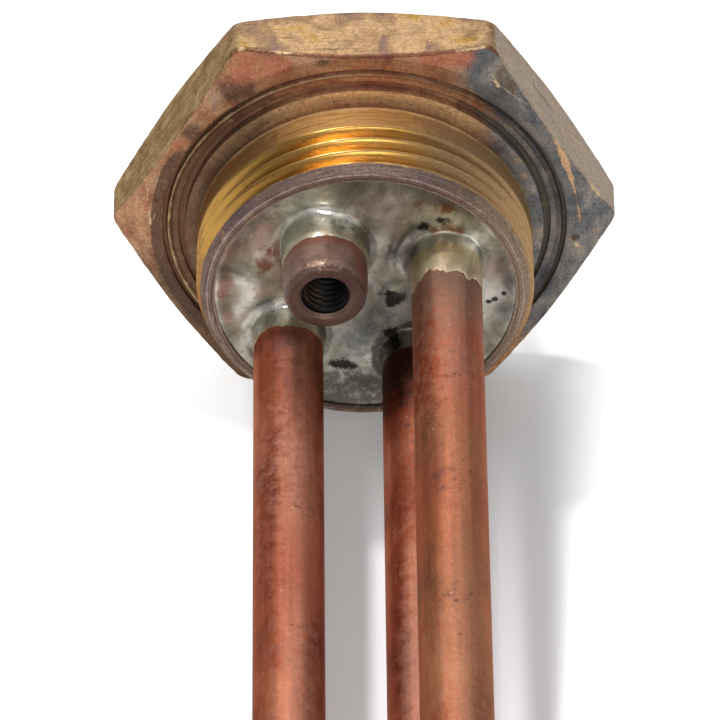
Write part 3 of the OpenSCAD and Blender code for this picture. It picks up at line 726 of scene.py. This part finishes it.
def drawnCopper():
    # drawn copper tube, tarnished in hot water: deep red-brown under a thin dull oxide, with a painted pale
    # sheen along the bright line, darker clouds, faint lines along the tube and specks of scale
    material, add, shader, place, (cloud, streak, mottle, grain) = startMaterial(
        "drawn copper, tarnished", {"Metallic": 0.9, "Specular Tint": linear("#e6cdc2")},
        [(5.5, 5.0, 0.6, 0.0, 0.35), (0.9, 3.0, 0.6, 0.0, 0.03), (1.5, 5.0, 0.68), (0.4, 3.0, 0.65)])
    patina = add("ValToRGB", [cloud], [(0.34, "#743629"), (0.5, "#9e5136"), (0.66, "#ba7254")])
    colour = layStains(add, patina, mottle, [
        # painted sheen along the top of each tube
        ("topLine", "#c48c76", 0.2, 0.5, 0.8),
        ("scum", "#846a5c", 0.3, 0.45, 0.85),
        ("golden", "#b0805a", 0.35, 0.5, 0.45),
        ("pale", "#cc9680", 0.4, 0.4, 0.5),
        ("red", "#a0432b", 0.4, 0.45, 0.5),
        ("stain", "#4f3a42", 0.35, 0.3, 0.8),
        # near black towards the solder
        ("soot", "#231613", 0.15, 0.4, 0.9),
    ])
    colour = shadeBy(add, colour, streak, (0.32, 0.68), (0.84, 1.1))
    colour = shadeBy(add, colour, grain, (0.3, 0.7), (0.84, 1.12))
    # dark dots and pale scale: their spacing in mm, how far each reaches, what it covers most, colour
    for spacing, reach, most, tone in ((3.3, 0.09, 0.5, "#3b2622"), (2.6, 0.08, 0.4, "#dcb6a4")):
        dots = add("TexVoronoi", {"Vector": place, "Scale": 1 / mm / spacing})
        cover = add("MapRange", [dots, 0.03, reach, most, 0.0])
        colour = add("Mix", [cover, colour, linear(tone)], data_type="RGBA")
    rough = add("MapRange", [mottle, 0.3, 0.7, 0.46, 0.58])
    bump = add("Bump", {"Height": grain, "Strength": 0.2, "Distance": 0.06 * mm})
    fillSockets(shader, {"Base Color": colour, "Roughness": rough, "Normal": bump})
    return material


copper = drawnCopper()
elementPiece = makePiece("elementSheath", hairpinGrid())
elementPoints = localPoints(elementPiece.data)
elementOut = elementPoints[:, 2]
onRight = smooth(-2, 2, (elementPoints[:, :2] - (legLeft + legRight) / 2) @ (legRight - legLeft) / 20)
fromLeg = elementPoints[:, :2] - np.where(onRight[:, None] > 0.5, legRight, legLeft)
paint(
    elementPiece.data,
    # painted sheen along the top of each leg
    topLine=0.62 * bell(np.arctan2(fromLeg[:, 0], fromLeg[:, 1]) - 0.32, 0.8),
    stain=spotField(elementPoints, [
        (-9.6, -3.5, 17.5, 2.6, 0.5), (-12, -5, 18, 2.6, 0.35), (-12, -4.4, 33, 0.8, 0.9),
        (8.5, 9, 56, 4, 0.35), (9.5, 9, 76, 3, 0.4), (-7, -4, 47, 4, 0.3),
        (-12, -4.5, 70, 6, 0.3), (12, 8.5, 33, 3, 0.3)]),
    scum=onRight * smooth(16, 19, elementOut) * (
        0.35 * smooth(25, 19, elementOut) + 0.6 * smooth(42, 24, elementOut)),
    golden=onRight * spotField(elementPoints, [
        (9, 8.5, 26, 4, 0.3), (10.5, 9, 46, 8, 0.8), (11, 9, 66, 16, 0.8), (11, 9, 90, 14, 0.7)]),
    pale=spotField(elementPoints, [(-9, -3, 38, 9, 0.5), (-9, -3, 60, 12, 0.5), (10, 9, 40, 8, 0.3)]),
    red=spotField(elementPoints, [
        (13, 7.5, 30, 3, 0.8), (13, 7.5, 42, 6, 0.6), (-7, -4, 26, 6, 0.35), (-6.5, -5, 56, 10, 0.35),
        (-12.6, -5, 62, 10, 0.45), (6.5, 7, 60, 12, 0.6)]),
)
finishPiece(elementPiece, copper, "copper", "element_sheath")

pocketPiece = makePiece("pocketTube", pocketGrid())
pocketPoints = localPoints(pocketPiece.data)
pocketX, pocketUp = (pocketPoints[:, :2] - pocketAt).T
pocketOut = pocketPoints[:, 2]
paint(
    pocketPiece.data,
    # painted sheen along the top of the pocket
    topLine=0.4 * bell(np.arctan2(pocketX, pocketUp), 0.5),
    stain=0.3 * smooth(60, 20, pocketOut),
    # the pocket near black towards the solder
    soot=smooth(34, 15, pocketOut),
    pale=smooth(35, 75, pocketOut) * smooth(-4.4, -1.0, pocketX),
    red=0.4 * smooth(45, 70, pocketOut) * smooth(-1.5, -3.5, pocketX),
)
finishPiece(pocketPiece, copper, "copper", "pocket_tube")

# Anode boss: a profile turned round its axis, with a real M6 helix inside
boss = {
    "sides": 120, "rollLong": 1.7, "rollAcross": 0.8, "rollRows": 10,
    "wallStart": 0.5, "wallRows": 14, "wallWave": 0.05,
    "mouth": 3.4, "mouthFall": 0.08, "mouthStep": 0.05, "mouthSoft": 0.1, "sink": 0.6,
    "minor": 2.46, "major": 2.98, "pitch": 1.0, "threadStep": 0.07, "threadFade": 0.8,
    "holeDepth": 11.2, "drillTip": (1.2, 0.3),  # the tip's radius and its depth below the thread
}


def bossGrid():
    # hole: rounded V thread whose crests point inwards; mouth: a small cone; front: a quarter of an ellipse
    # from the flat ring to the wall
    first, last = outsOf("anode_boss")
    turn = ringAngles(boss["sides"])
    tipRadius, tipDepth = boss["drillTip"]
    bottom, threadEnd, major = last - boss["holeDepth"], last - boss["sink"], boss["major"]
    holeOut = np.arange(bottom + tipDepth, threadEnd, boss["threadStep"])[:, None]
    wave = threadWave(holeOut / boss["pitch"] - turn / (2 * np.pi))
    fade = smooth(threadEnd, threadEnd - boss["threadFade"], holeOut)
    mean, half = (major + boss["minor"]) / 2, (major - boss["minor"]) / 2
    holeR = major + (mean - half * wave - major) * fade
    arc = np.linspace(0, np.pi / 2, boss["rollRows"])
    long, across = boss["rollLong"], boss["rollAcross"]
    front = np.stack([bossRadius - across + across * np.sin(arc), last - long + long * np.cos(arc)], -1)
    wallOut = np.linspace(last - long - boss["wallStart"], first, boss["wallRows"])
    wall = np.stack([bossRadius - boss["wallWave"] * np.sin(wallOut), wallOut], -1)
    mouth = roundCorners([
        (major, threadEnd), (major + boss["mouthStep"], threadEnd), (boss["mouth"], last - boss["mouthFall"]),
        (bossRadius - across, last)], boss["mouthSoft"])[1:]
    outside = np.concatenate([mouth, front[1:], wall])
    radius = np.concatenate([np.full((1, boss["sides"]), tipRadius), holeR, outside[:, :1] + 0 * turn])
    out = np.concatenate([[[bottom]], holeOut, outside[:, 1:]])
    return around(bossAt, radius, turn, out), False, True


def oxidisedCopper():
    # turned copper alloy under a dull brown oxide: nearly matt, redder on its wall, with painted glints on
    # top of the rolled edge, and a bore painted near black as painted shade, with painted glints on its
    # crests at the lower left
    material, add, shader, _, (cloud, grit) = startMaterial(
        "oxidised copper alloy, turned", {"Metallic": 0.7}, [(2.8, 5.0, 0.65), (0.45, 3.0, 0.6)])
    patina = add("ValToRGB", [cloud], [(0.3, "#664c41"), (0.5, "#886c61"), (0.7, "#a3857a")])
    colour = layStains(add, patina, cloud, [
        ("reddish", "#865141", 0.35, 0.35, 0.8),
        ("ring", "#5c463d", 0.2, 0.4, 0.75),
        ("bevel", "#7a6157", 0.2, 0.3, 0.8),
        # painted shade: the bore painted near black
        ("bore", "#0d0907", 0.1, 0.3, 1.0),
        # painted glints on the bore's crests at the lower left
        ("crest", "#745530", 0.3, 0.3, 0.8),
    ])
    # painted glints on the top of the rolled front edge
    glint = add("Attribute", attribute_name="glint").outputs["Fac"]
    sparkle = add("MapRange", [grit, 0.52, 0.72])
    shown = add("Math", [sparkle, glint], operation="MULTIPLY")
    colour = add("Mix", [shown, colour, linear("#d2b39c")], data_type="RGBA")
    rough = add("MapRange", [cloud, 0.3, 0.7, 0.44, 0.58])
    bump = add("Bump", {"Height": grit, "Strength": 0.3, "Distance": 0.1 * mm})
    fillSockets(shader, {"Base Color": colour, "Roughness": rough, "Normal": bump})
    return material


bossPiece = makePiece("anodeBoss", bossGrid())
bossPoints = localPoints(bossPiece.data)
bossX, bossUp = (bossPoints[:, :2] - bossAt).T
bossR = np.hypot(bossX, bossUp)
inFront = bossPoints[:, 2] - outsOf("anode_boss")[1]  # negative, from the boss's front inwards
inBore = smooth(3.05, 2.97, bossR) * smooth(-0.4, -0.6, inFront)
paint(
    bossPiece.data,
    # painted glints on the top of the rolled front edge
    glint=bell(inFront + 0.75, 0.7) * smooth(4.0, 4.4, bossR) * bell(bossX, 3) * smooth(0, 2, bossUp),
    reddish=np.maximum(smooth(5.0, 5.15, bossR) * smooth(2.5, 4.6, bossX), smooth(-3.8, -5.2, inFront)),
    ring=smooth(-1.0, -0.3, inFront) * (1 - inBore),
    bevel=band(2.95, 3.05, 3.45, 3.55, bossR) * (1 - inBore),
    # painted shade: the bore painted near black
    bore=inBore,
    # painted glints on the bore's crests at the lower left
    crest=inBore * smooth(2.62, 2.5, bossR) * smooth(0.5, -1.5, bossX) * smooth(-7, -4, inFront),
)
finishPiece(bossPiece, oxidisedCopper(), "oxidised_copper", "anode_boss")

# Solder: a pool in the wet cup and a collar of closed section round each tube and the boss
solder = {
    "level": 12.2, "rows": 110, "sides": 320, "lumps": 0.08,
    "hub": 0.4, "floorMiddle": 10.0, "gap": 0.02,  # innermost row, a row on the floor, and room to the cup
    "wallRise": 0.75, "wallWidth": 1.5,  # where the pool wets the cup
    "collarSides": 160, "collarFoot": 11.2, "collarGap": 0.03, "filletRows": 22, "skinRows": 14,
    "unsteady": (0.26, 0.12), "thinBelow": 0.3,  # waves of the fillet, and its share of width on the low side
    "skinThick": 0.14, "skinLeast": 0.3, "inWall": 0.3,  # skin on a tube, and how far its back is in the wall
    "tintWidth": 0.9,  # of the bluish tint in the moats
    "collars": [  # middle, tube radius, height of the fillet, its width, height of the skin, raggedness
        (legLeft, tubeRadius, 1.9, 1.4, 2.9, 0.4),
        (legRight, tubeRadius, 1.6, 1.1, 6.9, 0.9),
        (pocketAt, tubeRadius, 1.5, 1.1, 2.8, 0.4),
        (bossAt, bossRadius, 2.8, 1.5, 3.5, 0.25),
    ],
    "moats": [  # middle, distance from it, width, depth, and the side it is on in degrees with its spread
        (bossAt, bossRadius + 1.35, 0.65, 0.45, 95, 38), (legLeft, tubeRadius + 1.6, 0.65, 0.35, 110, 38),
        (legRight, tubeRadius + 1.9, 0.7, 0.30, 160, 45),
    ],
    "mounds": [  # (x, up, radius, height) of the larger swells and hollows
        (-2.5, 13.4, 3.0, 0.3), (-12.5, 3, 4.0, 0.25), (3.2, 9, 2.2, 0.4), (3, -2, 3.5, -0.4),
        (9.5, 13.5, 3.0, -0.25), (-1, -12, 4.0, -0.3), (14.5, -3, 3.5, 0.2),
        (13, 10.5, 2.4, 0.35), (-11, 10.5, 3.5, -0.2),
    ],
    "holes": [10, 24],  # outs of the bars that clear the pool for tubes and boss
}


def moatShare(x, up, distance, width, side, spread):
    # bell across the ring and bell along it, middled on its side
    along = (np.degrees(np.arctan2(up, x)) - side + 180) % 360 - 180
    return bell(np.hypot(x, up) - distance, width) * bell(along, spread)


def poolLevel(x, up):
    # pool surface: level, rising where it wets the cup, hollow round each collar, with swells and lumps
    fromWall = plug["wetCup"] - np.hypot(x, up)
    level = solder["level"] + solder["wallRise"] * np.exp(-(fromWall / solder["wallWidth"]) ** 1.5)
    level = level + solder["lumps"] * (ripple(0.4 * x, 0.4 * up, 11) + 0.5 * ripple(1.0 * x, 1.0 * up, 12))
    for at, distance, width, depth, side, spread in solder["moats"]:
        level = level - depth * moatShare(x - at[0], up - at[1], distance, width, side, spread)
    for mx, mup, radius, height in solder["mounds"]:
        level = level + height * np.exp(-((x - mx) ** 2 + (up - mup) ** 2) / radius ** 2)
    return level


def poolGrid():
    # rings from the middle out to the cup's wall at the pool's level, then back over the cup's floor
    turn = ringAngles(solder["sides"])
    cupR = plug["wetCup"] - solder["gap"]
    r = np.linspace(solder["hub"], cupR, solder["rows"])[:, None]
    floorR = np.array([cupR, solder["floorMiddle"], solder["hub"]])[:, None]
    floorOut = np.full((3, solder["sides"]), plug["webFront"] + solder["gap"])
    out = np.concatenate([poolLevel(r * np.cos(turn), r * np.sin(turn)), floorOut])
    return around((0, 0), np.concatenate([r, floorR]), turn, out), False, True


def collarGrid(at, radius, rise, width, skin, ragged, seed):
    # section carried round a tube: from the pool up a hollow fillet, up the tube as a thinning skin
    # with a ragged end, then back down inside the tube's wall
    turn = ringAngles(solder["collarSides"])
    ringX, ringUp = np.cos(turn), np.sin(turn)
    wavy = lambda size, number: ripple(size * ringX, size * ringUp, seed + number)
    slow, quick = solder["unsteady"]
    unsteady = 1 + slow * wavy(1.7, 0) + quick * wavy(5, 5)
    thin, thick = solder["thinBelow"], solder["skinThick"]
    wide = thin + (1 - thin) * smooth(0.25, 1.0, ringUp)  # it lay under the torch and ran thin below
    t = np.linspace(0, 1, solder["filletRows"])[:, None]
    awayFillet = thick + (width * wide * unsteady - thick) * (1 - t) ** 1.7
    foot = poolLevel(at[0] + (radius + awayFillet) * ringX, at[1] + (radius + awayFillet) * ringUp)
    outFillet = foot + rise * unsteady * t ** 3 - 0.02 * (1 - t) ** 4
    filletTop = outFillet[-1:]
    top = solder["level"] + skin + ragged * (wavy(3.5, 1) + 0.4 * wavy(11, 2))
    s = np.linspace(0, 1, solder["skinRows"])[1:, None]
    outSkin = filletTop + (np.maximum(top, filletTop + solder["skinLeast"]) - filletTop) * s
    awaySkin = thick * np.sqrt(np.maximum(1 - s ** 2, 0)) - 0.03 * s + 0 * turn
    awayBack = np.full((2, solder["collarSides"]), -solder["inWall"])
    bottom = np.full((1, solder["collarSides"]), solder["collarFoot"])
    away = np.concatenate([awayFillet[:1], awayFillet, awaySkin, awayBack])
    out = np.concatenate([bottom, outFillet, outSkin, outSkin[-1:], bottom])
    x, up = at[0] + (radius + away) * ringX, at[1] + (radius + away) * ringUp
    keep = np.minimum(1, (plug["wetCup"] - solder["collarGap"]) / np.hypot(x, up))
    return toRow(x * keep, up * keep, out), True, False


def tinSolder():
    # soft tin solder, flowed with a torch: a smooth grey-green skin that mirrors the room softly, with
    # painted highlights where it is also smoothest, painted shade on the fillets' sides and towards the
    # bottom, rust-coloured spots and black residue in the hollows
    material, add, shader, place, (cloud, mottle) = startMaterial(
        "tin solder, torch flowed", {"Metallic": 0.88}, [(6.0, 4.0, 0.55, 0.9, 1.0), (1.3, 5.0, 0.7)])
    specks = add("TexVoronoi", {"Vector": place, "Scale": 1 / mm / 1.9})
    patina = add("ValToRGB", [cloud], [(0.3, "#84836f"), (0.5, "#bfbcab"), (0.7, "#e8e5d8")])
    colour = layStains(add, patina, mottle, [
        # painted shade on the sides of the fillets
        ("shade", "#665e54", 0.3, 0.4, 0.7),
        ("flux", "#625d53", 0.4, 0.4, 0.65),
        # painted shade towards the bottom of the pool, and a dark collar round the pocket
        ("murk", "#4b473e", 0.5, 0.4, 0.85),
        ("bluish", "#66727a", 0.25, 0.4, 0.7),
        ("pinkish", "#c0aa9c", 0.25, 0.4, 0.7),
        # painted highlights on the solder
        ("bright", "#ece8dd", 0.35, 0.35, 0.9),
        ("tinned", "#c0ac84", 0.3, 0.4, 0.8),
        ("skinEdge", "#c9b79c", 0.6, 0.25, 0.85),
        ("rust", "#7d5130", 0.35, 0.3, 0.85),
        ("char", "#211d1a", 0.35, 0.2, 0.95),
    ])
    colour = shadeBy(add, colour, mottle, (0.3, 0.7), (0.84, 1.1))
    colour = shadeBy(add, colour, specks, (0.05, 0.11), (0.45, 1.0), 0.8)
    rough = add("MapRange", [cloud, 0.35, 0.65, 0.48, 0.28])
    # the painted highlights' mask also makes the solder smoothest there
    clean = add("Attribute", attribute_name="bright").outputs["Fac"]
    clean = add("MapRange", [clean, 0.6, 0.9])
    rough = add("Math", [clean, -0.2, rough], operation="MULTIPLY_ADD")  # smoothest where clean
    bump = add("Bump", {"Height": mottle, "Strength": 0.35, "Distance": 0.2 * mm})
    fillSockets(shader, {"Base Color": colour, "Roughness": rough, "Normal": bump})
    return material


poolPiece = makePiece("solderPool", poolGrid())
holes = [barGrid(at, radius + solder["gap"], solder["holes"]) for at, radius, *rest in solder["collars"]]
cutWith(poolPiece, makePiece("solderHoles", *holes))
collars = makeMesh("collars", *[collarGrid(*c, 20 + 3 * i) for i, c in enumerate(solder["collars"])])
joined = bmesh.new()
joined.from_mesh(poolPiece.data)
joined.from_mesh(collars)
joined.to_mesh(poolPiece.data)
joined.free()
solderPoints = localPoints(poolPiece.data)
solderFlat, solderUp, solderOut = solderPoints[:, :2], solderPoints[:, 1], solderPoints[:, 2]
byLeft, byRight, byBoss, byPocket = (
    smooth(far, near, np.linalg.norm(solderFlat - at, axis=1)) for at, near, far in (
        (legLeft, 4.9, 6.5), (legRight, 4.9, 6.5), (bossAt, 5.6, 7.0), (pocketAt, 5.2, 6.5)))
aroundCollars = 0 * solderUp
for at, radius, *rest in solder["collars"]:  # painted shade on the sides of each fillet, which dims their reflection, none at its top
    x, up = (solderFlat - at).T
    ring = smooth(radius + 1.6, radius + 0.9, np.hypot(x, up)) * smooth(15.5, 14.0, solderOut)
    aroundCollars = np.maximum(aroundCollars, ring * smooth(30, 75, np.abs(np.degrees(np.arctan2(x, up)))))
moatTint = smooth(13.5, 12.8, solderOut) * sum(
    moatShare(*(solderFlat - at).T, distance, solder["tintWidth"], side, spread)
    for at, distance, width, depth, side, spread in solder["moats"])
paint(
    poolPiece.data,
    # painted shade on the sides of the fillets
    flux=0.85 * aroundCollars,
    shade=spotField(solderPoints, [
        (10.5, 15, 3.6, 0.75), (6, 16.5, 3.0, 0.55), (3.4, 6, 1.6, 0.55), (4, 11, 1.6, 0.6),
        (-0.8, -9, 4.5, 0.7), (2, -4.5, 2.5, 0.35), (14, 13, 2, 0.4), (-1, 15.8, 4, 0.45),
        (-17.2, 3.5, 1.8, 0.6), (-16.4, 8, 1.8, 0.5), (-17.4, -2, 1.6, 0.6), (-13.2, 3, 2, 0.4)]),
    # painted shade towards the bottom of the pool, and a dark collar round the pocket
    murk=np.maximum(0.85 * smooth(-11.0, -15.5, solderUp), 0.95 * byPocket),
    bluish=np.maximum(0.75 * moatTint, spotField(solderPoints, [
        (17.6, 2, 1.8, 0.5), (17.3, -3, 1.8, 0.6), (-1, -8.5, 3, 0.6), (2.5, -4.6, 2.6, 0.5)])),
    pinkish=spotField(solderPoints, [(15.8, 3.5, 2.2, 0.8), (-15.5, 7, 2, 0.4)]),
    # painted highlights on the solder
    bright=spotField(solderPoints, [
        (-5.2, 13.1, 1.7, 1.1), (-1.4, 12.5, 1.5, 1.1), (-14, 9.5, 2.2, 0.5), (-11, 13.4, 2.2, 0.5),
        (-15.8, -4, 1.7, 0.6), (-14.8, -8.2, 1.6, 0.5), (-10.2, -2.6, 1.4, 1.1), (13.9, 8.4, 1.6, 1.1),
        (4.2, 11, 1.2, 0.45), (5, 8, 0.9, 0.5), (4.6, -2.4, 0.9, 0.5), (16, -0.5, 2.4, 0.65)]),
    rust=spotField(solderPoints, [
        (-12.6, 4.4, 1.6, 0.8), (9.9, 13.4, 1.5, 0.85), (7, 13.6, 1.2, 0.5), (11.6, 10.0, 0.9, 0.75),
        (10, 10.2, 0.9, 0.8), (8.4, 9.8, 0.9, 0.75), (-11.8, 7, 1.2, 0.45)]),
    char=spotField(solderPoints, [
        (-4.2, -12.3, 0.8, 0.7), (-2.8, -12.6, 1.0, 0.9), (-1.3, -13.1, 0.8, 0.7), (3.4, -7.3, 1.3, 0.9),
        (3.2, -2.6, 1.2, 0.75), (4.6, -1.4, 1.3, 0.65), (2.4, -0.6, 1.2, 0.5), (7.2, 10.2, 1.0, 0.75),
        (9.2, 11.2, 0.8, 0.65), (10.4, 11.2, 0.9, 0.5), (15.3, -2.1, 0.5, 0.8), (16.2, -1.6, 0.45, 0.8),
        (17.2, -0.6, 0.45, 0.8)]),
    tinned=np.maximum.reduce([
        byRight * smooth(13.2, 14.6, solderOut), 0.6 * byLeft * smooth(13.4, 15, solderOut),
        0.5 * byBoss * smooth(13.6, 15, solderOut)]),
    skinEdge=np.maximum(0.75 * byRight * smooth(14.8, 18.6, solderOut),
                        0.5 * byLeft * smooth(15.0, 15.8, solderOut)),
)
finishPiece(poolPiece, tinSolder(), "solder", "solder_pool")

# Hidden and dry-side pieces keep their CAD solids and get a finish each: material, light and dark tone,
# metallic, roughness, size of its clouds and depth of its unevenness in mm
small = {
    "steel": ("zinc-plated steel, stamped", "#b9bab8", "#8d8f8e", 1.0, 0.3, 1.2, 0.04),
    "resin": ("epoxy resin, cast", "#8e3a30", "#7a2e27", 0.0, 0.35, 2.0, 0.05),
    "ceramic": ("steatite, fired and unglazed", "#e6e1d3", "#d3ccba", 0.0, 0.6, 0.8, 0.06),
    "tab_brass": ("sheet brass, stamped", "#cda958", "#b08c45", 1.0, 0.32, 1.5, 0.04),
    "magnesia": ("magnesia, compacted powder", "#e8e5da", "#dcd8ca", 0.0, 0.9, 0.5, 0.08),
    "resistance_wire": ("nickel chrome wire, drawn", "#8f8d8c", "#77757a", 1.0, 0.4, 0.6, 0.03),
}


def dryFinish(name, light, dark, metallic, roughness, cloudSize, depth):
    # two close tones in soft clouds, and a fine unevenness of the surface
    material, add, shader, _, (cloud,) = startMaterial(
        name, {"Metallic": metallic, "Roughness": roughness}, [(cloudSize, 5.0, 0.6)])
    mixed = add("Mix", [cloud, linear(dark), linear(light)], data_type="RGBA")
    bump = add("Bump", {"Height": cloud, "Strength": 0.3, "Distance": depth * mm})
    fillSockets(shader, {"Base Color": mixed, "Normal": bump})
    return material


finishes = {slotName: dryFinish(*settings) for slotName, settings in small.items()}
for part in frame["record"]["subparts"]:
    if part["material_slot"] in finishes:
        node = frame["nodes"][part["node"]]
        node.data.materials.clear()
        node.data.materials.append(finishes[part["material_slot"]])
print("dry side finished")

bpy.context.scene.view_settings.view_transform = "Standard"
